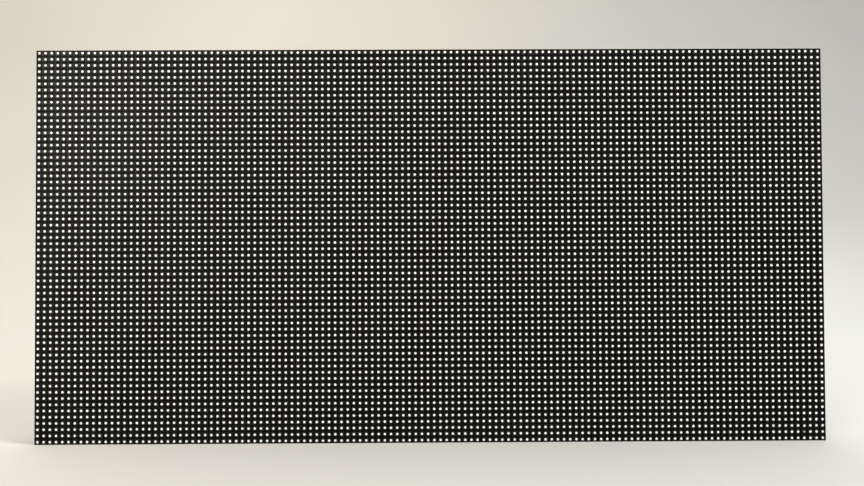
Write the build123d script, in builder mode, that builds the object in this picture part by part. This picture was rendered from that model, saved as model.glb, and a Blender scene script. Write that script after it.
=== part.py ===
"""A 128 x 64 LED dot matrix module of 2.5 mm pitch: front mask, LEDs, board, electronics and back frame.

Units are millimetres. The module stands on its long edge. X runs along it, Z is up, and its front looks
towards -Y. The origin is the middle of the underside. "Depth" is measured backwards from the mask's face.
"""

import os
from math import atan2, copysign, degrees

from build123d import *

# the dot grid
pitch = 2.5
columns = 128
rows = 64

# one LED: a black body with a round window of milky resin, which stands a little proud
led_size = 1.5
led_body_height = 0.8
resin_width = 1.1
resin_height = 0.1

# the mask: a window round each LED, and a thin rim outside the outermost ones
led_clearance = 0.05
mask_rim = 0.2
led_recess = 0.4
rib_land = 0.4
peg_diameter = 0.8
peg_clearance = 0.05
peg_span = 200.0

# the board
board_thickness = 1.6
board_inset = 0.15

# the back frame: a ribbed moulding, open to the rear, of beams round six windows
frame_depth = 11.6
frame_floor = 1.5
frame_wall = 1.4
frame_corner = 1.5
window_corner = 1.2
edge_beam = 15.5
middle_beam = 14.0
side_beam = 10.0
cross_beam = 10.0
rib_thickness = 1.2
rib_spacing = 20.0
rib_drop = 1.5
cable_notch_width = 26.0
cable_notch_depth = 4.0

# brass pillars, soldered on the board and threaded for the mounting screws; their knurl is drawn as flats
pillar_diameter = 5.0
pillar_flats = 12
pillar_clearance = 0.05
thread_bore = 2.5
thread_depth = 8.0
boss_wall = 2.0

# integrated circuits: body length, width and height
driver_size = (8.65, 3.9, 1.5)
row_driver_size = (9.9, 3.9, 1.5)
buffer_size = (12.8, 7.5, 2.3)
chip_draft = 6.0
driver_row_first = 21.0
driver_row_step = 16.0
chip_centre_offset = 11.0
buffer_centre_offset = 8.0

# small parts beside the drivers: length, width and height
ceramic_size = (1.25, 2.0, 0.9)
resistor_size = (1.6, 0.8, 0.45)
small_part_gap = 1.6

# electrolytic capacitors
can_diameter = 6.3
can_height = 7.0
can_base = 6.6
can_base_height = 0.8
can_base_corner = 1.2

# the two data headers: a 2 x 8 grid of pins in a notched shroud
pin_pitch = 2.54
pin_rows = 8
pin_width = 0.64
pin_height = 8.2
pin_foot_thickness = 0.4
pin_foot_reach = 6.2
shroud_length = 28.0
shroud_width = 8.9
shroud_height = 8.8
shroud_wall = 1.2
shroud_floor = 2.0
shroud_notch = 4.5
shroud_standoff = 0.5
header_from_window_edge = 12.0
pin_hole_clearance = 0.05

# the power header: four pins on a base with a latch wall
power_pins = 4
power_pitch = 3.96
power_pin_width = 1.14
power_pin_height = 9.0
power_base_end = 2.0
power_base_width = 8.5
power_base_height = 3.4
power_wall_thickness = 1.4
power_wall_height = 9.4
power_opening_margin = 4.0
power_pad_beam = 8.0

# what follows from those sizes
window_size = led_size + 2 * led_clearance
row_rib_width = pitch - window_size
rib_flank = degrees(atan2(led_recess, (row_rib_width - rib_land) / 2))
panel_length = (columns - 1) * pitch + led_size + 2 * (led_clearance + mask_rim)
panel_height = (rows - 1) * pitch + led_size + 2 * (led_clearance + mask_rim)
peg_spacing = 2 * pitch * round(peg_span / pitch / 2)
led_face = led_recess + resin_height
board_front = led_face + led_body_height
board_back = board_front + board_thickness
panel_depth = board_back + frame_depth
mid_height = panel_height / 2

inner_length = panel_length - 2 * edge_beam
inner_height = panel_height - 2 * edge_beam
frame_window = (inner_length - middle_beam - 2 * side_beam) / 4
inner_window_x = (middle_beam + frame_window) / 2
side_beam_x = middle_beam / 2 + frame_window + side_beam / 2
outer_window_x = side_beam_x + (side_beam + frame_window) / 2
half_window_height = (inner_height - cross_beam) / 2
half_window_z = (cross_beam + half_window_height) / 2

power_length = (power_pins - 1) * power_pitch + power_pin_width + 2 * power_base_end
power_opening = (power_length + 2 * power_opening_margin, power_base_width + 2 * power_opening_margin)
power_pad = (power_opening[0] + 2 * power_pad_beam, power_opening[1] + 2 * power_pad_beam)

pillar_x = (panel_length - edge_beam) / 2
pillar_z = (panel_height - edge_beam) / 2
pillar_places = [(x, z) for x in (-pillar_x, 0, pillar_x) for z in (-pillar_z, pillar_z)]

driver_x = [
    side * (window_x + offset * frame_window / 4)
    for side in (-1, 1)
    for window_x in (inner_window_x, outer_window_x)
    for offset in (-1, 1)
]
driver_z = [driver_row_first + step * driver_row_step for step in range(3)]
quarter = frame_window / 4
row_driver_places = [
    (side_x * (inner_window_x + step * quarter), side_z * chip_centre_offset)
    for side_x in (-1, 1)
    for step in (-0.5, 0.5)
    for side_z in (-1, 1)
]
can_places = [
    (side_x * (inner_window_x + 1.5 * quarter), side_z * chip_centre_offset)
    for side_x in (-1, 1)
    for side_z in (-1, 1)
]
buffer_places = [
    (-outer_window_x + step * quarter, side * buffer_centre_offset) for step in (0.5, 1.5) for side in (-1, 1)
]
half_base = can_base / 2
cut_base = half_base - can_base_corner
can_base_corners = [
    (-half_base, -half_base),
    (half_base, -half_base),
    (half_base, cut_base),
    (cut_base, half_base),
    (-cut_base, half_base),
    (-half_base, cut_base),
]
upright_beams = [(0, middle_beam)]
upright_beams += [(side * side_beam_x, side_beam) for side in (-1, 1)]
upright_beams += [(side * pillar_x, edge_beam) for side in (-1, 1)]
pin_slot = pin_width + 2 * pin_hole_clearance
header_x = outer_window_x + frame_window / 2 - header_from_window_edge


def layer(depth):
    """The plane at this depth, looking to the front, with its local origin at mid-height."""
    return Plane(origin=(0, depth - panel_depth / 2, mid_height), x_dir=(1, 0, 0), z_dir=(0, -1, 0))


def finish(builder, label):
    """Name the piece and write it."""
    builder.part.label = label
    export_step(builder.part, f"parts/{label}.step")


def frame_beams(margin, corner):
    """The frame's beams seen from the front, each side moved in by the margin."""
    Rectangle(panel_length - 2 * margin, panel_height - 2 * margin)
    with Locations((-outer_window_x, 0), (outer_window_x, 0)):
        opening(frame_window + 2 * margin, inner_height + 2 * margin, corner)
    with GridLocations(2 * inner_window_x, 2 * half_window_z, 2, 2):
        opening(frame_window + 2 * margin, half_window_height + 2 * margin, corner)
    Rectangle(power_pad[0] - 2 * margin, power_pad[1] - 2 * margin)
    opening(power_opening[0] + 2 * margin, power_opening[1] + 2 * margin, corner)


def opening(length, height, corner):
    """A rectangular opening in a sketch, with round corners if a radius is given."""
    if corner:
        RectangleRounded(length, height, corner, mode=Mode.SUBTRACT)
    else:
        Rectangle(length, height, mode=Mode.SUBTRACT)


def ribs_in(length):
    """The even number of ribs that fit in a length, so that none falls on its middle."""
    return 2 * int(length / 2 // rib_spacing)


def region(x_from, x_to, z_from, z_to):
    """A block through the frame's whole depth, between these distances from the middle of the panel."""
    middle = Location(((x_from + x_to) / 2, 0, mid_height + (z_from + z_to) / 2))
    return middle * Box(x_to - x_from, 2 * panel_depth, z_to - z_from)


def frame_regions():
    """The blocks that cut the frame into its beams, each with the round corners at its ends."""
    top = inner_height / 2
    pad_x, pad_z = power_pad[0] / 2, power_pad[1] / 2
    slot_x, slot_z = power_opening[0] / 2, power_opening[1] / 2
    notch_z = cable_notch_width / 2
    regions = []
    for low, high in ((-panel_height, -top), (top, panel_height)):
        regions += [region(-panel_length, panel_length, low, high)]
    middle_half = middle_beam / 2 + window_corner
    for low, high in ((-top, -pad_z), (pad_z, top)):
        regions += [region(-middle_half, middle_half, low, high)]
    side_half = side_beam / 2 + window_corner
    edge_half = edge_beam / 2 + window_corner
    for side in (-1, 1):
        regions += [region(side * side_beam_x - side_half, side * side_beam_x + side_half, -top, top)]
        for low, high in ((-top, -notch_z), (-notch_z, notch_z), (notch_z, top)):
            regions += [region(side * pillar_x - edge_half, side * pillar_x + edge_half, low, high)]
    cross_end = side_beam_x - side_half
    for side in (-1, 1):
        regions += [region(*sorted((side * pad_x, side * cross_end)), -cross_beam / 2, cross_beam / 2)]
        regions += [region(*sorted((side * pad_x, side * (slot_x - window_corner))), -slot_z, slot_z)]
        regions += [region(-pad_x, pad_x, *sorted((side * slot_z, side * pad_z)))]
    return regions


def blocks(places, size, draft=0.0):
    """Blocks that stand on the back of the board at these places, narrowing upwards by the draft."""
    with BuildSketch(layer(board_back)) as footprints:
        with Locations(*places):
            Rectangle(size[0], size[1])
    extrude(footprints.sketch, amount=-size[2], taper=draft)


os.makedirs("parts", exist_ok=True)

# the mask's rim and row ribs, with the pegs that locate it in the board
with BuildPart() as front_mask:
    with BuildSketch(layer(0)):
        Rectangle(panel_length, panel_height)
        Rectangle(panel_length - 2 * mask_rim, panel_height - 2 * mask_rim, mode=Mode.SUBTRACT)
    extrude(amount=-led_recess)
    with BuildSketch(layer(led_recess)):
        Rectangle(panel_length, panel_height)
        with GridLocations(0, pitch, 1, rows):
            Rectangle(panel_length - 2 * mask_rim, window_size, mode=Mode.SUBTRACT)
    extrude(amount=led_recess - board_front)
    with BuildSketch(layer(board_front)):
        with GridLocations(peg_spacing, 0, 2, 1):
            Circle(peg_diameter / 2)
    extrude(amount=-board_thickness)

finish(front_mask, "front_mask")

# its column ribs stand on the row ribs and narrow to the front
with BuildPart() as mask_columns:
    with BuildSketch(Plane.XY.offset(mask_rim)):
        with Locations((0, (led_recess - panel_depth) / 2)):
            with GridLocations(pitch, 0, columns - 1, 1):
                Trapezoid(row_rib_width, led_recess, rib_flank, rotation=180)
    extrude(amount=panel_height - 2 * mask_rim)

finish(mask_columns, "mask_columns")

# the LED bodies and their resin windows, each row of them drawn as one strip
led_row_length = (columns - 1) * pitch + led_size
with BuildPart() as led_bodies:
    with BuildSketch(layer(led_face)):
        with GridLocations(0, pitch, 1, rows):
            Rectangle(led_row_length, led_size)
    extrude(amount=-led_body_height)
finish(led_bodies, "led_bodies")

with BuildPart() as led_windows:
    with BuildSketch(layer(led_recess)):
        with GridLocations(0, pitch, 1, rows):
            Rectangle((columns - 1) * pitch + resin_width, resin_width)
    extrude(amount=-resin_height)
finish(led_windows, "led_windows")

# the board, a little inside the outline, with a hole for each peg
with BuildPart() as led_board:
    with BuildSketch(layer(board_front)):
        Rectangle(panel_length - 2 * board_inset, panel_height - 2 * board_inset)
        with GridLocations(peg_spacing, 0, 2, 1):
            Circle(peg_diameter / 2 + peg_clearance, mode=Mode.SUBTRACT)
    extrude(amount=-board_thickness)
finish(led_board, "led_board")

# the back frame: floor, walls, ribs and bosses of one moulding
with BuildPart() as back_frame:
    with BuildSketch(layer(board_back)):
        frame_beams(0, window_corner)
    extrude(amount=-frame_depth)
    outer_corners = back_frame.edges().filter_by(Axis.Y).sort_by(lambda edge: -abs(edge.center().X))[0:4]
    fillet(outer_corners, frame_corner)
    with BuildSketch(layer(board_back + frame_floor)):
        frame_beams(frame_wall, 0)
    extrude(amount=frame_floor - frame_depth, mode=Mode.SUBTRACT)
    with BuildSketch(layer(board_back)):
        with GridLocations(rib_spacing, 2 * pillar_z, ribs_in(panel_length), 2):
            Rectangle(rib_thickness, edge_beam - frame_wall)
        for window_x in (-inner_window_x, inner_window_x):
            with Locations((window_x, 0)):
                with GridLocations(rib_spacing, 0, 2, 1):
                    Rectangle(rib_thickness, cross_beam - frame_wall)
        for beam_x, beam in upright_beams:
            with Locations((beam_x, 0)):
                with GridLocations(0, rib_spacing, 1, ribs_in(inner_height)):
                    Rectangle(beam - frame_wall, rib_thickness)
        opening(power_pad[0], power_pad[1], 0)
        for x, z in pillar_places:
            with Locations((x, z + copysign(edge_beam / 4, z))):
                Rectangle(rib_thickness, edge_beam / 2)
            if x:
                with Locations((x + copysign(edge_beam / 4, x), z)):
                    Rectangle(edge_beam / 2, rib_thickness)
    extrude(amount=rib_drop - frame_depth)
    with BuildSketch(layer(board_back)):
        with Locations(*pillar_places):
            Circle(pillar_diameter / 2 + pillar_clearance + boss_wall)
    extrude(amount=-frame_depth)
    with BuildSketch(layer(board_back)):
        with Locations(*pillar_places):
            RegularPolygon(pillar_diameter / 2 + pillar_clearance, pillar_flats)
    extrude(amount=-frame_depth, mode=Mode.SUBTRACT)
    with BuildSketch(layer(panel_depth)):
        with Locations((-pillar_x, 0), (pillar_x, 0)):
            Rectangle(edge_beam, cable_notch_width)
    extrude(amount=cable_notch_depth, mode=Mode.SUBTRACT)

# the one moulding is cut along its beams into plain solids that meet face to face round the windows
beams = [back_frame.part & block for block in frame_regions()]
export_step(Compound(label="back_frame", children=beams), "parts/back_frame.step")

# the pillars stand in the frame's bosses, flush with its rear
with BuildPart() as mounting_pillars:
    with BuildSketch(layer(board_back)):
        with Locations(*pillar_places):
            RegularPolygon(pillar_diameter / 2, pillar_flats)
    extrude(amount=-frame_depth)
    with BuildSketch(layer(panel_depth)):
        with Locations(*pillar_places):
            Circle(thread_bore / 2)
    extrude(amount=thread_depth, mode=Mode.SUBTRACT)
finish(mounting_pillars, "mounting_pillars")

# column drivers: sixteen channels each, a third of them for each colour
for colour, row_z in zip(("red", "green", "blue"), driver_z):
    with BuildPart() as drivers:
        blocks([(x, side * row_z) for x in driver_x for side in (-1, 1)], driver_size, chip_draft)
    finish(drivers, f"{colour}_drivers")

with BuildPart() as row_drivers:
    blocks(row_driver_places, row_driver_size, chip_draft)
finish(row_drivers, "row_drivers")

with BuildPart() as input_buffers:
    blocks(buffer_places, buffer_size, chip_draft)
finish(input_buffers, "input_buffers")

# one ceramic capacitor and one current-setting resistor beside each column driver
driver_places = [(x, side * z) for x in driver_x for z in driver_z for side in (-1, 1)]
with BuildPart() as ceramic_capacitors:
    reach = driver_size[0] / 2 + small_part_gap + ceramic_size[0] / 2
    blocks([(x + reach, z) for x, z in driver_places], ceramic_size)
finish(ceramic_capacitors, "ceramic_capacitors")

with BuildPart() as chip_resistors:
    reach = driver_size[0] / 2 + small_part_gap + resistor_size[0] / 2
    blocks([(x - reach, z) for x, z in driver_places], resistor_size)
finish(chip_resistors, "chip_resistors")

# electrolytic capacitors: cans on moulded bases with two clipped corners
with BuildPart() as capacitor_bases:
    with BuildSketch(layer(board_back)):
        with Locations(*can_places):
            Polygon(*can_base_corners)
    extrude(amount=-can_base_height)
finish(capacitor_bases, "capacitor_bases")

with BuildPart() as capacitor_cans:
    with BuildSketch(layer(board_back + can_base_height)):
        with Locations(*can_places):
            Circle(can_diameter / 2)
    extrude(amount=can_base_height - can_height)
finish(capacitor_cans, "capacitor_cans")

# the data headers: each a notched shroud round a grid of bent pins, whose feet are soldered beside it
for way, centre_x in (("in", -header_x), ("out", header_x)):
    with BuildPart() as shroud:
        with BuildSketch(layer(board_back + shroud_standoff)):
            with Locations((centre_x, 0)):
                Rectangle(shroud_width, shroud_length)
        extrude(amount=-shroud_height)
        with BuildSketch(layer(board_back + shroud_standoff + shroud_floor)):
            with Locations((centre_x, 0)):
                Rectangle(shroud_width - 2 * shroud_wall, shroud_length - 2 * shroud_wall)
            with Locations((centre_x + shroud_width / 2, 0)):
                Rectangle(3 * shroud_wall, shroud_notch)
        extrude(amount=shroud_floor - shroud_height, mode=Mode.SUBTRACT)
        with BuildSketch(layer(board_back)):
            with Locations((centre_x, 0)):
                with GridLocations(pin_pitch, 0, 2, 1):
                    Rectangle(pin_slot, (pin_rows - 1) * pin_pitch + pin_slot)
        extrude(amount=-shroud_standoff - shroud_floor, mode=Mode.SUBTRACT)
    finish(shroud, f"data_{way}_shroud")

    with BuildPart() as pins:
        with BuildSketch(layer(board_back)):
            with Locations((centre_x, 0)):
                with GridLocations(pin_pitch, pin_pitch, 2, pin_rows):
                    Rectangle(pin_width, pin_width)
        extrude(amount=-pin_height)
        with BuildSketch(layer(board_back)):
            for side in (-1, 1):
                with Locations((centre_x + side * (pin_foot_reach + pin_pitch / 2) / 2, 0)):
                    with GridLocations(0, pin_pitch, 1, pin_rows):
                        Rectangle(pin_foot_reach - pin_pitch / 2, pin_width)
        extrude(amount=-pin_foot_thickness)
    finish(pins, f"data_{way}_pins")

# the power header
with BuildPart() as power_header:
    with BuildSketch(layer(board_back)):
        Rectangle(power_length, power_base_width)
        with GridLocations(power_pitch, 0, power_pins, 1):
            hole = power_pin_width + 2 * pin_hole_clearance
            Rectangle(hole, hole, mode=Mode.SUBTRACT)
    extrude(amount=-power_base_height)
    with BuildSketch(layer(board_back)):
        with Locations((0, (power_base_width - power_wall_thickness) / 2)):
            Rectangle(power_length, power_wall_thickness)
    extrude(amount=-power_wall_height)
finish(power_header, "power_header")

with BuildPart() as power_pin_row:
    with BuildSketch(layer(board_back)):
        with GridLocations(power_pitch, 0, power_pins, 1):
            Rectangle(power_pin_width, power_pin_width)
    extrude(amount=-power_pin_height)
finish(power_pin_row, "power_pins")
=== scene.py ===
# %% [markdown]
# # An LED dot matrix module
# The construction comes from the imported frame: board, back frame, chips, headers and pillars at their real size.
# This file gives it its looks. It models what is too fine for the frame, the mask's 8192 windows and the LEDs
# behind them, and it finishes every surface with node materials.

import math

import bmesh
import bpy
from mathutils import Matrix, Vector


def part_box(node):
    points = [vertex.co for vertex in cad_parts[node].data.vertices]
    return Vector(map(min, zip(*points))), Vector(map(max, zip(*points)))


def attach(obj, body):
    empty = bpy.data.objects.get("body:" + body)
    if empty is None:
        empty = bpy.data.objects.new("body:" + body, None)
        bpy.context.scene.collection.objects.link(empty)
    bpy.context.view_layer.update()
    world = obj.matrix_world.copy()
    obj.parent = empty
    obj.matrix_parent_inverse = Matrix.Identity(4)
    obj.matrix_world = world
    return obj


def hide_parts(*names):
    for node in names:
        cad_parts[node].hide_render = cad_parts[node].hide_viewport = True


MM = 0.001
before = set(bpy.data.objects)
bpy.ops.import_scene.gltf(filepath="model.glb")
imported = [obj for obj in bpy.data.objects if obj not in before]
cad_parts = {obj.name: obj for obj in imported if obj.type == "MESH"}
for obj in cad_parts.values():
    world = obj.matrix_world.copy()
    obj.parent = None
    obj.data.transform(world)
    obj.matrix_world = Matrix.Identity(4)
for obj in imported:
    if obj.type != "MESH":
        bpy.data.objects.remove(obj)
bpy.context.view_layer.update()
scene = bpy.context.scene
print("nodes in the frame:", len(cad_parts))

# %% [markdown]
# The sizes that the fine work needs all follow from the frame. The mask gives the outline and the front plane,
# and the strips that stand for the LED rows give the pitch and the depth of the dots.

# %% Read the sizes
COLUMNS = 128
ROWS = 64
mask_low, mask_high = (Vector(corner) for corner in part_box("front_mask"))
body_low, body_high = (Vector(corner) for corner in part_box("led_bodies"))
dot_low, dot_high = (Vector(corner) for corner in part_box("led_windows"))
board_low, board_high = (Vector(corner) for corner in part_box("led_board"))
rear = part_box("back_frame")[1][1]

front = mask_low.y
half_length = mask_high.x
mid_height = (mask_low.z + mask_high.z) / 2
dot_radius = 0.55 * MM
pitch = (dot_high.x - dot_low.x - 2 * dot_radius) / (COLUMNS - 1)
led_half = (body_high.x - body_low.x - (COLUMNS - 1) * pitch) / 2
print("pitch", round(pitch / MM, 3), "mm, LED", round(2 * led_half / MM, 3), "mm")

# %% [markdown]
# The camera looks almost square at the face, from close by, as one looks at a small panel on a desk. It comes
# first, because everything else is judged through it. Its small turns are those of a head that isn't quite level.

# %% Camera
CAMERA_DISTANCE = 0.30
VIEW_WIDTH = 0.3504
CAMERA_SHIFT = Vector((-0.00113, 0, -0.00463))
CAMERA_TURN = (91.05, 0.25, -0.33)

camera_data = bpy.data.cameras.new("camera")
camera = bpy.data.objects.new("camera", camera_data)
scene.collection.objects.link(camera)
camera_data.lens = camera_data.sensor_width * CAMERA_DISTANCE / VIEW_WIDTH
camera.location = Vector((0, front - CAMERA_DISTANCE, mid_height)) + CAMERA_SHIFT
camera.rotation_euler = [math.radians(turn) for turn in CAMERA_TURN]
scene.camera = camera
scene.view_settings.view_transform = "Standard"
print("lens", round(camera_data.lens, 1), "mm")

# %% [markdown]
# ## Finishes by nodes
# Every surface of the real module has some life in it: moulded plastic has a fine grain, metal has brushing, and
# tones drift. Painted images could show that, but node materials stay sharp at any distance and need no files.
# They read the object's own coordinates, so that a pattern stays put on its piece from every side. A few helpers
# keep each recipe short.

# %% A material and its nodes


def new_material(name):
    """A material with an empty node tree, and its shader and output."""
    material = bpy.data.materials.new(name)
    material.use_nodes = True
    tree = material.node_tree
    tree.nodes.clear()
    output = tree.nodes.new("ShaderNodeOutputMaterial")
    shader = tree.nodes.new("ShaderNodeBsdfPrincipled")
    tree.links.new(shader.outputs["BSDF"], output.inputs["Surface"])
    return material, tree, shader


def node(tree, kind, links=(), **values):
    """One node, its plain sockets set by value and its linked ones from (socket, output) pairs."""
    made = tree.nodes.new("ShaderNode" + kind)
    for name, value in values.items():
        if hasattr(made, name):
            setattr(made, name, value)
        else:
            made.inputs[name.replace("_", " ")].default_value = value
    for socket, output in links:
        tree.links.new(output, made.inputs[socket])
    return made


def object_coordinates(tree):
    """The place on the piece itself, in metres."""
    return tree.nodes.new("ShaderNodeTexCoord").outputs["Object"]


helpers = (new_material, node, object_coordinates)
print("helpers", [helper.__name__ for helper in helpers])

# %% Blends and ranges


def mix(tree, factor, first, second):
    """A colour between two, each an RGB tuple or a colour output."""
    mixer = tree.nodes.new("ShaderNodeMix")
    mixer.data_type = "RGBA"
    for slot, value in ((6, first), (7, second)):
        if isinstance(value, tuple):
            mixer.inputs[slot].default_value = (*value, 1)
        else:
            tree.links.new(value, mixer.inputs[slot])
    tree.links.new(factor, mixer.inputs[0])
    return mixer.outputs[2]


def ramp(tree, factor, low, high, first=0.0, second=1.0):
    """Map a value's range to another, held at its ends."""
    mapper = node(tree, "MapRange", [("Value", factor)])
    mapper.inputs["From Min"].default_value = low
    mapper.inputs["From Max"].default_value = high
    mapper.inputs["To Min"].default_value = first
    mapper.inputs["To Max"].default_value = second
    return mapper.outputs["Result"]


print("helpers", [helper.__name__ for helper in (mix, ramp)])

# %% Moulded plastic
ROUGHNESS_SPREAD = 0.06


def moulded(name, colour, dark, roughness, grain=0.00025, bump=0.12, specular=0.5):
    """Moulded plastic: a fine grain, and a slow drift between two tones."""
    material, tree, shader = new_material(name)
    place = object_coordinates(tree)
    drift = node(tree, "TexNoise", [("Vector", place)], Scale=35.0, Detail=4.0)
    tone = mix(tree, ramp(tree, drift.outputs["Fac"], 0.35, 0.65), dark, colour)
    tree.links.new(tone, shader.inputs["Base Color"])
    texture = node(tree, "TexNoise", [("Vector", place)], Scale=1 / grain, Detail=2.0)
    rough = ramp(tree, texture.outputs["Fac"], 0.3, 0.7,
                 roughness - ROUGHNESS_SPREAD, roughness + ROUGHNESS_SPREAD)
    tree.links.new(rough, shader.inputs["Roughness"])
    relief = node(tree, "Bump", [("Height", texture.outputs["Fac"])], Strength=bump, Distance=grain * 0.3)
    tree.links.new(relief.outputs["Normal"], shader.inputs["Normal"])
    shader.inputs["Specular IOR Level"].default_value = specular
    print("finish", name)
    return material


# %% Piece on the body


def finish_piece(mesh_builder, name, materials):
    """Turn a bmesh into a piece that rides on the body, in its material slots."""
    mesh = bpy.data.meshes.new(name)
    mesh_builder.to_mesh(mesh)
    mesh_builder.free()
    piece = bpy.data.objects.new(name, mesh)
    scene.collection.objects.link(piece)
    for material in materials:
        mesh.materials.append(material)
    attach(piece, "root")
    print(name, "triangles", sum(len(face.vertices) - 2 for face in mesh.polygons))
    return piece


# %% [markdown]
# ## The mask
# The real mask is one black moulding with a window for every LED. Its ribs narrow towards the front, so that each
# window is a small funnel. A grid with one face for each window is the quickest way to 8192 of them. Each face is
# inset, which leaves the front of the ribs, inset again and sunk, which makes the funnel, and then opened. The
# mask is made in two halves, which keeps each mesh at a handy size. Its front is matt and a touch greyer than the
# funnels, whose walls are the same plastic in a darker colour: painted shade for deep walls that catch little
# light. The solid mask also has two thin pegs that locate it in the board. They aren't made here, so the board's
# two peg holes stay empty.

# %% Mask plastic
mask_plastic = moulded("mask_plastic", (0.0078, 0.0077, 0.0069), (0.0055, 0.0055, 0.0049), 0.45, specular=0.03)
# The walls' colour is the front's plastic made darker: painted shade for the deep funnels.
mask_walls_painted_shade = moulded("mask_walls_painted_shade", (0.0022, 0.0021, 0.0019), (0.0016, 0.0016, 0.0014), 0.4, bump=0.05, specular=0.1)

# %% Mask lattice
HALF_COLUMNS = COLUMNS // 2
HAIR = 0.001 * MM
rib_land = 0.4 * MM
window_half = led_half + 0.05 * MM
funnel_depth = dot_low.y - front
mask_depth = board_low.y - front
print("funnel depth", round(funnel_depth / MM, 2), "mm, mask depth", round(mask_depth / MM, 2), "mm")


def led_centre(value, origin):
    """The middle of the cell that a coordinate falls in."""
    return (math.floor((value - origin) / pitch) + 0.5) * pitch + origin


def mask_half(side):
    """Half of the mask's lattice: front, funnels and window walls, with its back and outside left open."""
    half = bmesh.new()
    length = HALF_COLUMNS * pitch
    turn = Matrix.Translation((side * length / 2, front, mid_height)) @ Matrix.Rotation(math.pi / 2, 4, "X")
    half_size = Matrix.Diagonal((length / 2, ROWS * pitch / 2, 1, 1))
    bmesh.ops.create_grid(half, x_segments=HALF_COLUMNS, y_segments=ROWS, size=1, matrix=turn @ half_size)
    for vert in half.verts:
        vert.co.x = max(-half_length, min(half_length, vert.co.x))
        vert.co.z = max(mask_low.z, min(mask_high.z, vert.co.z))
    windows = list(half.faces)
    bmesh.ops.inset_individual(half, faces=windows, thickness=rib_land / 2, use_even_offset=True)
    for depth in (funnel_depth, mask_depth - funnel_depth):
        ring = bmesh.ops.inset_individual(half, faces=windows, thickness=0, depth=0)["faces"]
        # these walls take the second slot, whose colour is darker by painted shade
        for face in ring:
            face.material_index = 1
        corners = {vert for face in windows for vert in face.verts}
        bmesh.ops.translate(half, verts=list(corners), vec=(0, depth, 0))
        for vert in corners:
            centre_x = led_centre(vert.co.x, 0)
            centre_z = led_centre(vert.co.z, mid_height)
            vert.co.x = centre_x + math.copysign(window_half, vert.co.x - centre_x)
            vert.co.z = centre_z + math.copysign(window_half, vert.co.z - centre_z)
    bmesh.ops.delete(half, geom=windows, context="FACES_ONLY")
    for vert in half.verts:
        vert.co.y = max(front, vert.co.y)
    return half


# %% Mask back


def close_back(half):
    """The mask's flat back and its outside: the outline's edges run back, and rings fill the back of the ribs."""
    back = front + mask_depth
    rims = [edge for edge in half.edges if edge.is_boundary and all(v.co.y < front + HAIR for v in edge.verts)]
    extruded = bmesh.ops.extrude_edge_only(half, edges=rims)
    bmesh.ops.translate(half, verts=[g for g in extruded["geom"] if isinstance(g, bmesh.types.BMVert)],
                        vec=(0, mask_depth, 0))
    loose = [edge for edge in half.edges if edge.is_boundary and all(abs(v.co.y - back) < HAIR for v in edge.verts)]
    bmesh.ops.triangle_fill(half, edges=loose, use_beauty=False, use_dissolve=False)
    bmesh.ops.recalc_face_normals(half, faces=half.faces)


for side, name in ((-1, "mask_left"), (1, "mask_right")):
    lattice = mask_half(side)
    close_back(lattice)
    print(name, "open edges", sum(edge.is_boundary for edge in lattice.edges))
    piece = finish_piece(lattice, name, [mask_plastic, mask_walls_painted_shade])
    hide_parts("front_mask", "mask_columns")

# %% [markdown]
# ## The LEDs
# Each LED is a black square body with a round window of milky resin, a little crowned. One is made: a square
# with a circle in it, filled between the two, with the circle's own fan of faces as the resin. The whole
# field then comes from doubling it: one becomes two, two become four, and so on, first along and then up. That is
# far quicker than 8192 separate copies.

# %% LED finishes
RESIN_ROUGHNESS = 0.38
DARKEST_SHARE = 0.95
led_black = moulded("led_black", (0.0012, 0.0012, 0.0012), (0.0009, 0.0009, 0.0009), 0.45, bump=0.08, specular=0.03)


def resin(name, bright):
    """Milky resin: each dot has its own slight tone, from noise on its column and row."""
    material, tree, shader = new_material(name)
    place = object_coordinates(tree)
    cells = node(tree, "VectorMath", [(0, place)], operation="DIVIDE")
    cells.inputs[1].default_value = (pitch, 1, pitch)
    centred = node(tree, "VectorMath", [(0, cells.outputs[0])], operation="FLOOR")
    chance = node(tree, "TexWhiteNoise", [("Vector", centred.outputs[0])])
    tone = mix(tree, chance.outputs["Value"], tuple(DARKEST_SHARE * c for c in bright), bright)
    tree.links.new(tone, shader.inputs["Base Color"])
    shader.inputs["Roughness"].default_value = RESIN_ROUGHNESS
    print("finish", name)
    return material


milky = resin("milky_resin", (0.9, 0.9, 0.89))
dull = resin("dull_resin", (0.27, 0.27, 0.265))

# %% One LED
DOT_SIDES = 12
CROWN = 0.06 * MM
LIP = 0.025 * MM
print("window seen", round(2 * (dot_radius - LIP) / MM, 2), "mm of", round(2 * dot_radius / MM, 2), "mm")


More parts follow.
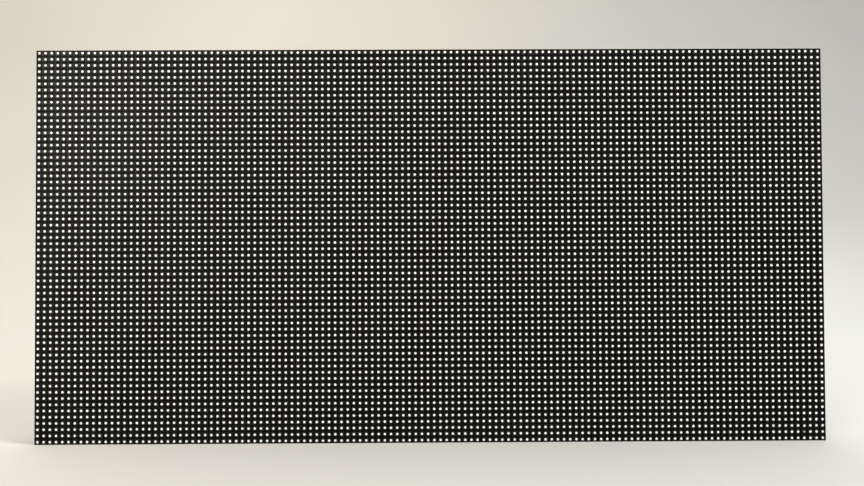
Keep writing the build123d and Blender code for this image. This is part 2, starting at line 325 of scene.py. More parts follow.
def one_led(centre_x, centre_z):
    """An LED: a black body with a crowned window of resin, whose rim the body's lip covers."""
    led = bmesh.new()
    place = Matrix.Translation((centre_x, dot_low.y, centre_z)) @ Matrix.Rotation(math.pi / 2, 4, "X")
    bmesh.ops.create_circle(led, cap_ends=True, cap_tris=True, segments=DOT_SIDES, radius=dot_radius - LIP,
                            matrix=place)
    for face in led.faces:
        face.material_index = 1
        face.smooth = True
    crown = max(led.verts, key=lambda vert: len(vert.link_edges))
    crown.co.y -= CROWN
    circle = [edge for edge in led.edges if edge.is_boundary]
    square = bmesh.ops.create_circle(led, segments=4, radius=led_half * math.sqrt(2),
                                     matrix=place @ Matrix.Rotation(math.pi / 4, 4, "Z"))
    outline = list({edge for vert in square["verts"] for edge in vert.link_edges})
    bmesh.ops.triangle_fill(led, edges=circle + outline, use_beauty=True, use_dissolve=False)
    walls = bmesh.ops.extrude_edge_only(led, edges=outline)
    base = [g for g in walls["geom"] if isinstance(g, bmesh.types.BMVert)]
    bmesh.ops.translate(led, verts=base, vec=(0, board_low.y - dot_low.y, 0))
    bmesh.ops.contextual_create(led, geom=[e for e in led.edges if e.is_boundary])
    bmesh.ops.recalc_face_normals(led, faces=led.faces)
    return led


# %% A field of LEDs
first_z = mid_height - (ROWS - 1) / 2 * pitch
print("first row at", round(first_z / MM, 2), "mm")


def doubled(array, times, step):
    """Double what is there, times over, each copy moved on by as much as stands already."""
    for power in range(times):
        copies = bmesh.ops.duplicate(array, geom=array.verts[:] + array.edges[:] + array.faces[:])["geom"]
        verts = [g for g in copies if isinstance(g, bmesh.types.BMVert)]
        bmesh.ops.translate(array, verts=verts, vec=Vector(step) * 2**power)


# %% [markdown]
# Two LEDs near the lower right corner have aged: the resin of one is dull, and the one above it leans. Single LEDs
# of their own could be set in for them, but it is simpler to find their faces in the finished field, give one's
# the dull resin and turn the other's a little.

# %% Two aged LEDs
AGED_COLUMN_FROM_END = 4
DULL_ROW = 1
LEANING_ROW = 2
LEAN_DEGREES = 4
LEAN_SHIFT = (0.1 * MM, 0, -0.08 * MM)


def age_two_leds(leds):
    """Dull the resin of one LED, and lean that of the one above it."""
    column_x = (HALF_COLUMNS - AGED_COLUMN_FROM_END + 0.5) * pitch
    worn = []
    for row in (DULL_ROW, LEANING_ROW):
        row_z = first_z + row * pitch
        worn.append([f for f in leds.faces if f.material_index == 1 and f.calc_center_median().y < body_low.y
                     and abs(f.calc_center_median().x - column_x) < pitch / 2
                     and abs(f.calc_center_median().z - row_z) < pitch / 2])
    for face in worn[0]:
        face.material_index = 2
    leaning = list({vert for face in worn[1] for vert in face.verts})
    hub = Vector((column_x, dot_low.y, first_z + LEANING_ROW * pitch))
    bmesh.ops.rotate(leds, verts=leaning, cent=hub, matrix=Matrix.Rotation(math.radians(LEAN_DEGREES), 3, "X"))
    bmesh.ops.translate(leds, verts=leaning, vec=LEAN_SHIFT)
    print("aged faces", len(worn[0]), len(worn[1]))


for side, name in ((-1, "leds_left"), (1, "leds_right")):
    first_x = (side - 1) / 2 * HALF_COLUMNS * pitch + pitch / 2
    leds = one_led(first_x, first_z)
    doubled(leds, int(math.log2(HALF_COLUMNS)), (pitch, 0, 0))
    doubled(leds, int(math.log2(ROWS)), (0, 0, pitch))
    if side > 0:
        age_two_leds(leds)
    piece = finish_piece(leds, name, [led_black, milky, dull])
    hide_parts("led_bodies", "led_windows")

# %% [markdown]
# ## The board
# Seen from behind, the board fills the frame's windows: green lacquer over copper, with fine traces in bundles, a
# via behind about two LEDs in three, and a bare laminate edge. Traces and vias run to thousands and all are flat,
# so they are painted with nodes on the object's own coordinates: stripes in bundles that run one way or the other,
# and rings on a grid, some of them left out.

# %% Sums and chances in nodes


def math_node(tree, operation, first, second=None):
    """One sum, product, comparison or the like of two values, each a number or an output."""
    made = node(tree, "Math", operation=operation)
    for socket, value in zip(made.inputs, (first, second)):
        if value is None:
            continue
        if isinstance(value, (int, float)):
            socket.default_value = value
        else:
            tree.links.new(value, socket)
    return made.outputs[0]


def chance_by_cell(tree, place, width, height):
    """A random value for each cell of this size; the cells have their middles on its multiples."""
    cells = node(tree, "VectorMath", [(0, place)], operation="DIVIDE")
    cells.inputs[1].default_value = (width, 1, height)
    shifted = node(tree, "VectorMath", [(0, cells.outputs[0])], operation="ADD")
    shifted.inputs[1].default_value = (0.5, 0.5, 0.5)
    whole = node(tree, "VectorMath", [(0, shifted.outputs[0])], operation="FLOOR")
    return node(tree, "TexWhiteNoise", [("Vector", whole.outputs[0])]).outputs["Value"]


board_green, tree, shader = new_material("board_lacquer")
on_board = object_coordinates(tree)
axes = node(tree, "SeparateXYZ", [("Vector", on_board)])
along, up = axes.outputs["X"], axes.outputs["Z"]
print("board", [round(size / MM, 1) for size in board_high - board_low], "mm")

# %% Traces
TRACE_STEP = 0.62 * MM
TRACE_SHARE = 0.45
ROW_BUNDLE = (27 * MM, 5 * TRACE_STEP)
COLUMN_BUNDLE = (7 * TRACE_STEP, 19 * MM)
BARE_IN_ROWS = 0.5
BARE_IN_COLUMNS = 0.42


def stripe(tree, coordinate, step, share):
    """1 on stripes of this share of the step, 0 between them."""
    phase = math_node(tree, "PINGPONG", coordinate, step / 2)
    return math_node(tree, "LESS_THAN", phase, share * step / 2)


row_bundle = math_node(tree, "GREATER_THAN", chance_by_cell(tree, on_board, *ROW_BUNDLE), BARE_IN_ROWS)
column_bundle = math_node(tree, "GREATER_THAN", chance_by_cell(tree, on_board, *COLUMN_BUNDLE), BARE_IN_COLUMNS)
free = math_node(tree, "SUBTRACT", 1.0, row_bundle)
lengthwise = math_node(tree, "MULTIPLY", stripe(tree, up, TRACE_STEP, TRACE_SHARE), row_bundle)
upright = math_node(tree, "MULTIPLY", stripe(tree, along, TRACE_STEP, TRACE_SHARE),
                    math_node(tree, "MULTIPLY", column_bundle, free))
traces = math_node(tree, "MAXIMUM", lengthwise, upright)
print("a trace is", round(TRACE_STEP * TRACE_SHARE / MM, 2), "mm wide")

# %% Vias
HALF_VIA_STEP = pitch / 2
VIA_RADIUS = 0.34 * MM
DRILL_RADIUS = 0.15 * MM
SHARE_WITHOUT = 0.35

off_x = math_node(tree, "PINGPONG", along, HALF_VIA_STEP)
off_z = math_node(tree, "PINGPONG", up, HALF_VIA_STEP)
squares = math_node(tree, "ADD", math_node(tree, "POWER", off_x, 2), math_node(tree, "POWER", off_z, 2))
away = math_node(tree, "SQRT", squares)
has_via = math_node(tree, "GREATER_THAN", chance_by_cell(tree, on_board, pitch, pitch), SHARE_WITHOUT)
ring = math_node(tree, "MULTIPLY", math_node(tree, "LESS_THAN", away, VIA_RADIUS), has_via)
hole = math_node(tree, "MULTIPLY", math_node(tree, "LESS_THAN", away, DRILL_RADIUS), has_via)
copper = math_node(tree, "MAXIMUM", traces, ring)
print("a via every", round(pitch / MM, 2), "mm, but for a share of", SHARE_WITHOUT)

# %% Lacquer and edge
EDGE_SKIN = 0.02 * MM

clouds = node(tree, "TexNoise", [("Vector", on_board)], Scale=60.0, Detail=3.0)
lacquer = mix(tree, clouds.outputs["Fac"], (0.012, 0.075, 0.032), (0.016, 0.095, 0.042))
painted = mix(tree, copper, lacquer, (0.03, 0.17, 0.07))
# Painted shade: each via's drill hole is a dark disc in the colour, not a cut hole.
hole_shade_painted = mix(tree, hole, painted, (0.01, 0.03, 0.015))
from_middle = math_node(tree, "ABSOLUTE", math_node(tree, "SUBTRACT", up, mid_height))
reach_x = math_node(tree, "GREATER_THAN", math_node(tree, "ABSOLUTE", along), board_high.x - EDGE_SKIN)
reach_z = math_node(tree, "GREATER_THAN", from_middle, board_high.z - mid_height - EDGE_SKIN)
edge = math_node(tree, "MAXIMUM", reach_x, reach_z)
tree.links.new(mix(tree, edge, hole_shade_painted, (0.32, 0.27, 0.13)), shader.inputs["Base Color"])
tree.links.new(ramp(tree, copper, 0, 1, 0.36, 0.28), shader.inputs["Roughness"])
relief = node(tree, "Bump", [("Height", copper)], Strength=0.5, Distance=0.03 * MM)
tree.links.new(relief.outputs["Normal"], shader.inputs["Normal"])
print("board nodes", len(tree.nodes))

# %% [markdown]
# ## Metals, and the finishes of the solid parts
# The back has turned brass, plated pins, drawn aluminium, epoxy and several plastics. Each could have a material of
# its own making, but two recipes cover them all: the moulded one, and one for metal, whose noise is stretched
# along one axis as brushing is. Most of the solid parts keep their own mesh and only get a finish here.

# %% Metal
METAL_SPREAD = 0.07


def metal(name, colour, worn, roughness, streak=(1, 1, 1), grain=0.0004):
    """Metal with brushing: noise stretched along one axis drives tone and roughness."""
    material, tree, shader = new_material(name)
    stretch = node(tree, "Mapping", [("Vector", object_coordinates(tree))])
    stretch.inputs["Scale"].default_value = streak
    brushing = node(tree, "TexNoise", [("Vector", stretch.outputs[0])], Scale=1 / grain, Detail=3.0)
    tree.links.new(mix(tree, brushing.outputs["Fac"], worn, colour), shader.inputs["Base Color"])
    rough = ramp(tree, brushing.outputs["Fac"], 0.3, 0.7, roughness - METAL_SPREAD,
                 roughness + METAL_SPREAD)
    tree.links.new(rough, shader.inputs["Roughness"])
    relief = node(tree, "Bump", [("Height", brushing.outputs["Fac"])], Strength=0.1, Distance=0.02 * MM)
    tree.links.new(relief.outputs["Normal"], shader.inputs["Normal"])
    shader.inputs["Metallic"].default_value = 1.0
    print("finish", name)
    return material


brass = metal("turned_brass", (0.85, 0.62, 0.28), (0.7, 0.5, 0.22), 0.3, streak=(1, 12, 1))
tin = metal("tinned_lead", (0.74, 0.74, 0.73), (0.6, 0.6, 0.6), 0.34)
gold = metal("gold_flash", (0.86, 0.68, 0.36), (0.78, 0.58, 0.28), 0.26, streak=(1, 0.2, 1))
solder = metal("solder", (0.68, 0.69, 0.7), (0.52, 0.53, 0.54), 0.38, grain=0.0002)
can_metal = metal("can_metal", (0.82, 0.83, 0.84), (0.74, 0.75, 0.76), 0.28, streak=(1, 6, 1))

# %% Plastics, epoxy and ink
frame_plastic = moulded("frame_plastic", (0.018, 0.018, 0.019), (0.012, 0.012, 0.013), 0.5, grain=0.0004, bump=0.35)
chip_epoxy = moulded("chip_epoxy", (0.02, 0.02, 0.022), (0.014, 0.014, 0.016), 0.55, grain=0.00012, bump=0.3)
ceramic_tan = moulded("ceramic_tan", (0.42, 0.29, 0.18), (0.34, 0.23, 0.14), 0.45, grain=0.0001)
resistor_glaze = moulded("resistor_glaze", (0.014, 0.014, 0.018), (0.01, 0.01, 0.012), 0.25, grain=0.0001, bump=0.05)
base_plastic = moulded("base_plastic", (0.016, 0.016, 0.017), (0.012, 0.012, 0.013), 0.45, grain=0.0002)
header_plastic = moulded("header_plastic", (0.02, 0.02, 0.021), (0.014, 0.014, 0.015), 0.42, grain=0.00025, bump=0.2)
nylon = moulded("nylon", (0.76, 0.74, 0.66), (0.7, 0.675, 0.6), 0.4, grain=0.0003, bump=0.1)
can_ink = moulded("can_ink", (0.012, 0.012, 0.014), (0.009, 0.009, 0.01), 0.4)
legend_ink = moulded("legend_ink", (0.8, 0.8, 0.77), (0.7, 0.7, 0.68), 0.6, grain=0.0002)

# %% Finishes of the solid parts
finishes = {
    "led_board": board_green, "back_frame": frame_plastic, "mounting_pillars": brass,
    "red_drivers": chip_epoxy, "green_drivers": chip_epoxy, "blue_drivers": chip_epoxy,
    "row_drivers": chip_epoxy, "input_buffers": chip_epoxy, "ceramic_capacitors": ceramic_tan,
    "chip_resistors": resistor_glaze, "capacitor_bases": base_plastic,
    "data_in_shroud": header_plastic, "data_out_shroud": header_plastic,
    "data_in_pins": gold, "data_out_pins": gold, "power_header": nylon, "power_pins": tin,
}
for node_name, finish in finishes.items():
    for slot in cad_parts[node_name].material_slots:
        slot.material = finish
print("finished nodes", len(finishes))

# %% [markdown]
# ## Leads and solder
# Every chip stands on rows of bent leads. One lead is a small rectangle, pushed out of the body, down to the board
# and out along it. A row of them, turned round to the other side, makes one chip's leads, and those are copied to
# every chip of that kind. Where the chips stand is read from their own meshes, so that nothing is typed twice.

# %% Where the small parts stand
board_back = board_high.y
print("board's back at", round(board_back / MM, 2), "mm")


def solids_of(name):
    """The lowest and highest corner of each solid in a CAD node."""
    copy = bmesh.new()
    copy.from_mesh(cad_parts[name].data)
    bmesh.ops.remove_doubles(copy, verts=copy.verts, dist=HAIR)
    left = set(copy.verts)
    found = []
    while left:
        island, edge_of_search = set(), [left.pop()]
        while edge_of_search:
            vert = edge_of_search.pop()
            island.add(vert)
            for link in vert.link_edges:
                other = link.other_vert(vert)
                if other in left:
                    left.remove(other)
                    edge_of_search.append(other)
        low = Vector([min(v.co[i] for v in island) for i in range(3)])
        high = Vector([max(v.co[i] for v in island) for i in range(3)])
        found.append((low, high))
    copy.free()
    return found


def middles(solids):
    """The middle of each solid, on the board's back."""
    return [Vector(((low.x + high.x) / 2, board_back, (low.z + high.z) / 2)) for low, high in solids]


# %% A pattern at many places


def spread(pattern, places):
    """A bmesh that holds a copy of the pattern at each place."""
    mesh = bpy.data.meshes.new("pattern")
    pattern.to_mesh(mesh)
    pattern.free()
    whole = bmesh.new()
    for place in places:
        first = len(whole.verts)
        whole.from_mesh(mesh)
        whole.verts.ensure_lookup_table()
        bmesh.ops.translate(whole, verts=whole.verts[first:], vec=place)
    bpy.data.meshes.remove(mesh)
    return whole


column_drivers = [solid for colour in ("red", "green", "blue") for solid in solids_of(colour + "_drivers")]
row_drivers = solids_of("row_drivers")
buffers = solids_of("input_buffers")
print("chips", len(column_drivers), len(row_drivers), len(buffers))

# %% Leads
LEAD_THICKNESS = 0.2 * MM
LEAD_ROOT = 0.2 * MM
PAD_HEIGHT = 0.015 * MM
# shares of the reach outside the body: out to the bend, forward on the way down, and along the board
BEND, SLOPE, FOOT = 0.22, 0.2, 0.58


def lead_row(chip, count, lead_pitch, reach, width):
    """The bent leads and the pads of one chip, on both of its long sides, around the origin."""
    low, high = chip
    half_body = (high.z - low.z) / 2
    exit_height = (high.y - low.y) * 0.5
    chip_leads = bmesh.new()
    bmesh.ops.create_grid(chip_leads, x_segments=1, y_segments=1, size=0.5,
                          matrix=Matrix.Translation((0, exit_height, half_body - LEAD_ROOT))
                          @ Matrix.Diagonal((width, LEAD_THICKNESS, 1, 1)))
    tip = list(chip_leads.faces)
    outside = reach - half_body
    out = (0, 0, LEAD_ROOT + BEND * outside)
    down = (0, 0.6 * LEAD_THICKNESS - exit_height, SLOPE * outside)
    along_board = (0, 0, FOOT * outside)
    for step in (out, down, along_board):
        grown = bmesh.ops.extrude_face_region(chip_leads, geom=tip)
        bmesh.ops.delete(chip_leads, geom=tip, context="FACES_ONLY")
        tip = [g for g in grown["geom"] if isinstance(g, bmesh.types.BMFace)]
        bmesh.ops.translate(chip_leads, verts=list({v for f in tip for v in f.verts}), vec=step)
    bmesh.ops.recalc_face_normals(chip_leads, faces=chip_leads.faces)
    lead_faces = len(chip_leads.faces)
    bmesh.ops.create_grid(chip_leads, x_segments=1, y_segments=1, size=0.5,
                          matrix=Matrix.Translation((0, PAD_HEIGHT, half_body + 0.72 * outside))
                          @ Matrix.Rotation(-math.pi / 2, 4, "X")
                          @ Matrix.Diagonal((width * 1.35, 0.8 * outside, 1, 1)))
    chip_leads.faces.ensure_lookup_table()
    for face in chip_leads.faces[lead_faces:]:
        face.material_index = 1
    one_side = spread(chip_leads, [Vector(((i - (count - 1) / 2) * lead_pitch, 0, 0)) for i in range(count)])
    copies = bmesh.ops.duplicate(one_side, geom=one_side.verts[:] + one_side.edges[:] + one_side.faces[:])["geom"]
    bmesh.ops.rotate(one_side, verts=[g for g in copies if isinstance(g, bmesh.types.BMVert)],
                     cent=(0, 0, 0), matrix=Matrix.Rotation(math.pi, 3, "Y"))
    return one_side


# the kind, its chips, leads on a side, their pitch, their reach from the middle and their width
chip_kinds = (
    ("column_driver", column_drivers, 12, 0.635 * MM, 3.0 * MM, 0.25 * MM),
    ("row_driver", row_drivers, 8, 1.27 * MM, 3.0 * MM, 0.42 * MM),
    ("buffer", buffers, 10, 1.27 * MM, 5.15 * MM, 0.42 * MM),
)
for kind, chips, count, lead_pitch, reach, width in chip_kinds:
    name = kind + "_leads"
    leads = spread(lead_row(chips[0], count, lead_pitch, reach, width), middles(chips))
    print(name, "leads", 2 * count * len(chips))
    finish_piece(leads, name, [tin, solder])

# %% [markdown]
# ## Dimples and legends
# A shallow round dimple marks each chip's first lead, and a thin white line printed on the board frames each chip.
# A dimple could be cut into every chip, but the chips are solid parts that stay as they are, so a dished disc lies
# on the chip's top. The line is a rectangle, inset by its width and opened in the middle.

# %% Dimples
DIMPLE_SIDES = 16
DIMPLE_RADIUS = 0.4 * MM
DIMPLE_RIM = 0.05 * MM
DIMPLE_DEPTH = 0.009 * MM
DIMPLE_HEIGHT = 0.012 * MM
DIMPLE_INSET = 0.95 * MM


def dimple(chip):
    """A thin dished disc on a chip's top, over its first lead."""
    low, high = chip
    disc = bmesh.new()
    size = high - low
    corner = Vector((DIMPLE_INSET - size.x / 2, size.y + DIMPLE_HEIGHT, DIMPLE_INSET - size.z / 2))
    place = Matrix.Translation(corner) @ Matrix.Rotation(-math.pi / 2, 4, "X")
    bmesh.ops.create_circle(disc, cap_ends=True, segments=DIMPLE_SIDES, radius=DIMPLE_RADIUS, matrix=place)
    faces = list(disc.faces)
    bmesh.ops.inset_individual(disc, faces=faces, thickness=DIMPLE_RIM)
    bmesh.ops.translate(disc, verts=faces[0].verts, vec=(0, -DIMPLE_DEPTH, 0))
    return disc


print("dimple", round(2 * DIMPLE_RADIUS / MM, 2), "mm wide,", round(DIMPLE_DEPTH / MM, 3), "mm deep")

# %% Legends
LEGEND_LINE = 0.15 * MM
LEGEND_HEIGHT = 0.01 * MM
PAST_THE_ENDS = 0.9 * MM
INSIDE_THE_LEADS = 0.7 * MM


def legend_frame(length, height):
    """A rectangle of white ink on the board, open in the middle."""
    frame_ink = bmesh.new()
    bmesh.ops.create_grid(frame_ink, x_segments=1, y_segments=1, size=0.5,
                          matrix=Matrix.Translation((0, LEGEND_HEIGHT, 0)) @ Matrix.Rotation(-math.pi / 2, 4, "X")
                          @ Matrix.Diagonal((length, height, 1, 1)))
    middle = list(frame_ink.faces)
    bmesh.ops.inset_individual(frame_ink, faces=middle, thickness=LEGEND_LINE)
    bmesh.ops.delete(frame_ink, geom=middle, context="FACES")
    return frame_ink


print("printed line", round(LEGEND_LINE / MM, 2), "mm wide")

# %% Dimples and legends on every chip
for kind, chips, *_ in chip_kinds:
    finish_piece(spread(dimple(chips[0]), middles(chips)), kind + "_dimples", [resistor_glaze])
    low, high = chips[0]
    ink = legend_frame(high.x - low.x + PAST_THE_ENDS, high.z - low.z - INSIDE_THE_LEADS)
    finish_piece(spread(ink, middles(chips)), kind + "_legends", [legend_ink])

# %% [markdown]
# ## Ends of the small parts
# A ceramic capacitor or a resistor is dipped in metal at both ends, and solder joins the ends to the board. The
# ends could be a stripe in the material, but real ones stand a little proud, so each is a rounded box round the
# part's end, with a flat pad of solder under it.

# %% Metal ends
END_SHARE = 0.22
END_ROUND = 0.06 * MM
PAD_THICKNESS = 0.06 * MM
PAD_LENGTH = 0.4 * MM
PAD_OFFSET = 0.16 * MM


def end_caps(part):
    """Two metal caps, rounded at their edges, that wrap the ends of a chip part around the origin."""
    low, high = part
    size = high - low
    cap_length = size.z * END_SHARE
    caps = bmesh.new()
    for end in (-1, 1):
        place = Matrix.Translation((0, size.y / 2 + 0.01 * MM, end * (size.z / 2 - cap_length / 2 + 0.03 * MM)))
        box_size = Matrix.Diagonal((size.x + 0.05 * MM, size.y + 0.03 * MM, cap_length, 1))
        made = bmesh.ops.create_cube(caps, size=1, matrix=place @ box_size)
        edges = list({e for v in made["verts"] for e in v.link_edges})
        bmesh.ops.bevel(caps, geom=edges, offset=END_ROUND, segments=1, profile=0.5, affect="EDGES", material=-1)
        pad_size = Matrix.Diagonal((size.x * 1.1, PAD_THICKNESS, PAD_LENGTH, 1))
        pad = Matrix.Translation((0, PAD_THICKNESS / 2, end * (size.z / 2 + PAD_OFFSET))) @ pad_size
        made = bmesh.ops.create_cube(caps, size=1, matrix=pad)
        for face in {f for v in made["verts"] for f in v.link_faces}:
            face.material_index = 1
    return caps


for node_name in ("ceramic_capacitors", "chip_resistors"):
    parts = solids_of(node_name)
    capped = spread(end_caps(parts[0]), middles(parts))
    print(node_name, len(parts))
    finish_piece(capped, node_name + "_ends", [tin, solder])

# %% [markdown]
# ## The capacitor cans
# An aluminium can is drawn from sheet: its foot is rolled over the base, a groove is crimped above that, and the top
# edge is round. All of it is one profile spun about the can's own axis. A dark sector is printed on the top, where
# a cut across the mesh gives it a straight edge.

# %% Cans
CAN_STEPS = 40
SHARP_ANGLE = 35
can_solids = solids_of("capacitor_cans")
can_low, can_high = can_solids[0]
can_radius = (can_high.x - can_low.x) / 2
can_height = can_high.y - can_low.y
sector_x = -0.42 * can_radius
# each point is a share of the radius and of the height, from the middle of the foot to the middle of the top
can_profile = ((0.0, 0.01), (0.93, 0.01), (1.0, 0.05), (1.0, 0.12), (0.9, 0.165), (0.89, 0.19), (1.0, 0.235),
               (1.0, 0.93), (0.985, 0.965), (0.95, 0.988), (0.88, 0.997), (0.86, 0.985), (0.0, 0.985))
print("can", round(2 * can_radius / MM, 2), "mm wide,", round(can_height / MM, 2), "mm high")


def one_can():
    """A can around the origin, standing on y = 0."""
    can = bmesh.new()
    line = [can.verts.new((share * can_radius, height * can_height, 0)) for share, height in can_profile]
    for first, second in zip(line, line[1:]):
        can.edges.new((first, second))
    bmesh.ops.spin(can, geom=can.verts[:] + can.edges[:], cent=(0, 0, 0), axis=(0, 1, 0), dvec=(0, 0, 0),
                   angle=2 * math.pi, steps=CAN_STEPS, use_merge=True)
    bmesh.ops.remove_doubles(can, verts=can.verts, dist=HAIR)
    bmesh.ops.bisect_plane(can, geom=can.verts[:] + can.edges[:] + can.faces[:], dist=HAIR,
                           plane_co=(sector_x, 0, 0), plane_no=(1, 0, 0))
    bmesh.ops.recalc_face_normals(can, faces=can.faces)
    for face in can.faces:
        middle = face.calc_center_median()
        face.smooth = True
        if middle.x < sector_x and middle.y > 0.975 * can_height:
            face.material_index = 1
    return can


can_feet = [Vector(((low.x + high.x) / 2, low.y, (low.z + high.z) / 2)) for low, high in can_solids]
cans = finish_piece(spread(one_can(), can_feet), "crimped_cans", [can_metal, can_ink])
cans.data.set_sharp_from_angle(angle=math.radians(SHARP_ANGLE))
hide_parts("capacitor_cans")

# %% Can tabs
TAB_SIZE = (1.5 * MM, 0.2 * MM, 0.7 * MM, 1)
TAB_HEIGHT = 0.12 * MM
TAB_ROUND = 0.05 * MM
base_low, base_high = solids_of("capacitor_bases")[0]
tabs = bmesh.new()
for end in (-1, 1):
    place = Matrix.Translation((end * ((base_high.x - base_low.x) / 2 + 0.2 * MM), TAB_HEIGHT, 0))
    bmesh.ops.create_cube(tabs, size=1, matrix=place @ Matrix.Diagonal(TAB_SIZE))
bmesh.ops.bevel(tabs, geom=tabs.edges[:], offset=TAB_ROUND, segments=1, profile=0.5, affect="EDGES", material=-1)
finish_piece(spread(tabs, middles(can_solids)), "can_tabs", [tin])

# %% [markdown]
# ## The threads
# The brass pillars are plain bores in the frame. A thread is a triangle swept round the bore while it moves along
# it, which a spin with a step along its axis does in one call.

# %% Threads
THREAD_RADIUS = 1.25 * MM
THREAD_STEP = 0.5 * MM
THREAD_DEPTH = 0.2 * MM
THREAD_START = 0.3 * MM
THREAD_ROOT = 0.01 * MM
THREAD_TURNS = 10
TURN_STEPS = 14


def one_thread():
    """A helical ridge inside a bore whose mouth is at the origin."""
    thread = bmesh.new()
    places = ((THREAD_RADIUS + THREAD_ROOT, 0), (THREAD_RADIUS - THREAD_DEPTH, -THREAD_STEP / 2),
              (THREAD_RADIUS + THREAD_ROOT, -THREAD_STEP))
    line = [thread.verts.new((radius, y - THREAD_START, 0)) for radius, y in places]
    for first, second in zip(line, line[1:]):
        thread.edges.new((first, second))
    bmesh.ops.spin(thread, geom=thread.verts[:] + thread.edges[:], cent=(0, 0, 0), axis=(0, 1, 0),
                   dvec=(0, -THREAD_STEP / TURN_STEPS, 0), angle=2 * math.pi * THREAD_TURNS,
                   steps=TURN_STEPS * THREAD_TURNS)
    bmesh.ops.remove_doubles(thread, verts=thread.verts, dist=HAIR)
    bmesh.ops.recalc_face_normals(thread, faces=thread.faces)
    flat = Vector((1, 0, 1))
    inward = sum(face.normal.dot(face.calc_center_median() * flat) < 0 for face in thread.faces)
    if inward < len(thread.faces) / 2:
        bmesh.ops.reverse_faces(thread, faces=thread.faces)
    return thread


pillars = [Vector((middle.x, rear, middle.z)) for middle in middles(solids_of("mounting_pillars"))]
finish_piece(spread(one_thread(), pillars), "pillar_threads", [brass])
print("pillars", len(pillars))

# %% [markdown]
# ## The floor and the light
# The module stands on a pale floor that curves up into a wall far behind it, so that no horizon shows. A grid's
# far edge is spun up for the curve and pushed on for the wall, which keeps the three in one smooth sheet.

# %% Floor finish
FLOOR_SIZE = 14.0
WALL_DISTANCE = 0.6
WALL_HEIGHT = 1.5
SWEEP_RADIUS = 1.6
SWEEP_STEPS = 24
floor_material, tree, shader = new_material("pale_floor")
on_floor = object_coordinates(tree)
floor_axes = node(tree, "SeparateXYZ", [("Vector", on_floor)])
# Painted light: the floor is warmer and lighter to the left, and cooler and darker to the right.
painted_light_to_right = ramp(tree, floor_axes.outputs["X"], -0.5, 0.5)
drift = node(tree, "TexNoise", [("Vector", on_floor)], Scale=3.0, Detail=2.0)
painted_warm_to_cool_light = mix(tree, painted_light_to_right, (0.69, 0.655, 0.59), (0.6, 0.6, 0.555))
blend = ramp(tree, drift.outputs["Fac"], 0.4, 0.6, 0, 0.3)
tree.links.new(mix(tree, blend, painted_warm_to_cool_light, (0.66, 0.62, 0.55)), shader.inputs["Base Color"])
shader.inputs["Roughness"].default_value = 0.85
shader.inputs["Specular IOR Level"].default_value = 0.2
print("floor nodes", len(tree.nodes))

# %% Floor and wall
floor_builder = bmesh.new()
bmesh.ops.create_grid(floor_builder, x_segments=1, y_segments=1, size=FLOOR_SIZE / 2,
                      matrix=Matrix.Translation((0, WALL_DISTANCE - FLOOR_SIZE / 2, 0)))
far_edge = [e for e in floor_builder.edges if all(v.co.y > WALL_DISTANCE - 0.01 for v in e.verts)]
bent = bmesh.ops.spin(floor_builder, geom=far_edge, cent=(0, WALL_DISTANCE, SWEEP_RADIUS), axis=(1, 0, 0),
                      dvec=(0, 0, 0), angle=math.pi / 2, steps=SWEEP_STEPS)
last_edge = [g for g in bent["geom_last"] if isinstance(g, bmesh.types.BMEdge)]
raised = bmesh.ops.extrude_edge_only(floor_builder, edges=last_edge)
bmesh.ops.translate(floor_builder, verts=[g for g in raised["geom"] if isinstance(g, bmesh.types.BMVert)],
                    vec=(0, 0, WALL_HEIGHT))
bmesh.ops.recalc_face_normals(floor_builder, faces=floor_builder.faces)
for face in floor_builder.faces:
    face.smooth = True
floor_mesh = bpy.data.meshes.new("floor")
floor_builder.to_mesh(floor_mesh)
floor_mesh.materials.append(floor_material)
floor = bpy.data.objects.new("floor", floor_mesh)
scene.collection.objects.link(floor)
print("floor", [round(v, 2) for v in floor.dimensions])

# %% [markdown]
# A black face full of small white dots needs light from the sides: a lamp that the face mirrors straight to the
# camera would make the black grey. So the room is dim towards its horizon, which the face mirrors, bright
# overhead, which lights the floor, and pale only where the camera sees it. The lamps stand to the left and right,
# and a narrow one grazes the face from the right, so that the flanks of the windows at the upper left catch it.

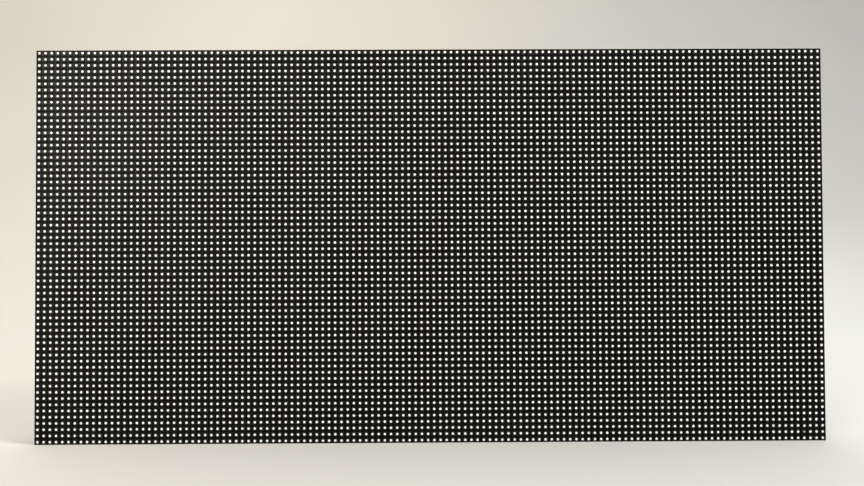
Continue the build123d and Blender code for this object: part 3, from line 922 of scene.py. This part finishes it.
# %% Room
HORIZON = 0.2
ZENITH = 1.25
SEEN = 0.58
world = bpy.data.worlds.new("room")
scene.world = world
world.use_nodes = True
room = world.node_tree
seen = node(room, "Background", Color=(0.92, 0.91, 0.87, 1), Strength=SEEN)
dim = room.nodes["Background"]
dim.inputs["Color"].default_value = (0.97, 0.98, 1, 1)
heading = node(room, "SeparateXYZ", [("Vector", room.nodes.new("ShaderNodeTexCoord").outputs["Generated"])])
room.links.new(ramp(room, heading.outputs["Z"], 0.15, 0.9, HORIZON, ZENITH), dim.inputs["Strength"])
choice = node(room, "MixShader", [(1, dim.outputs[0]), (2, seen.outputs[0])])
room.links.new(room.nodes.new("ShaderNodeLightPath").outputs["Is Camera Ray"], choice.inputs[0])
room.links.new(choice.outputs[0], room.nodes["World Output"].inputs["Surface"])
print("room nodes", len(room.nodes))

# %% Lamps


def lamp(name, kind, place, power, colour, aim=(0, 0, mid_height)):
    """A lamp, which looks at the middle of the module unless it is aimed elsewhere."""
    data = bpy.data.lights.new(name, kind)
    data.energy = power
    data.color = colour
    light = bpy.data.objects.new(name, data)
    scene.collection.objects.link(light)
    light.location = place
    light.rotation_euler = (Vector(aim) - light.location).to_track_quat("-Z", "Y").to_euler()
    return data


def soft_light(name, place, size, power, colour, aim=(0, 0, mid_height)):
    """A large area light."""
    lamp(name, "AREA", place, power, colour, aim).size = size


soft_light("warm_left", (-0.61, -0.92, 0.36), 0.3, 5.8, (1, 0.92, 0.82))
soft_light("cool_right", (1.15, -0.5, 0.6), 0.4, 11.6, (0.96, 1, 0.985))
soft_light("overhead", (0.1, -0.35, 1.5), 0.9, 1.5, (1, 0.985, 0.96))
soft_light("rear", (0.4, 0.9, 0.9), 0.8, 3.0, (1, 1, 1))
soft_light("wall_wash", (-0.4, 0.8, 2.1), 0.9, 14, (1, 0.93, 0.8), (-0.75, 2.2, 0.95))

low_sun = lamp("low_sun", "SPOT", (1.0, -0.3, 0.42), 130, (1, 0.92, 0.8), (-0.17, 0, 0.14))
low_sun.spot_size = math.radians(14)
low_sun.spot_blend = 1.0
low_sun.shadow_soft_size = 0.08
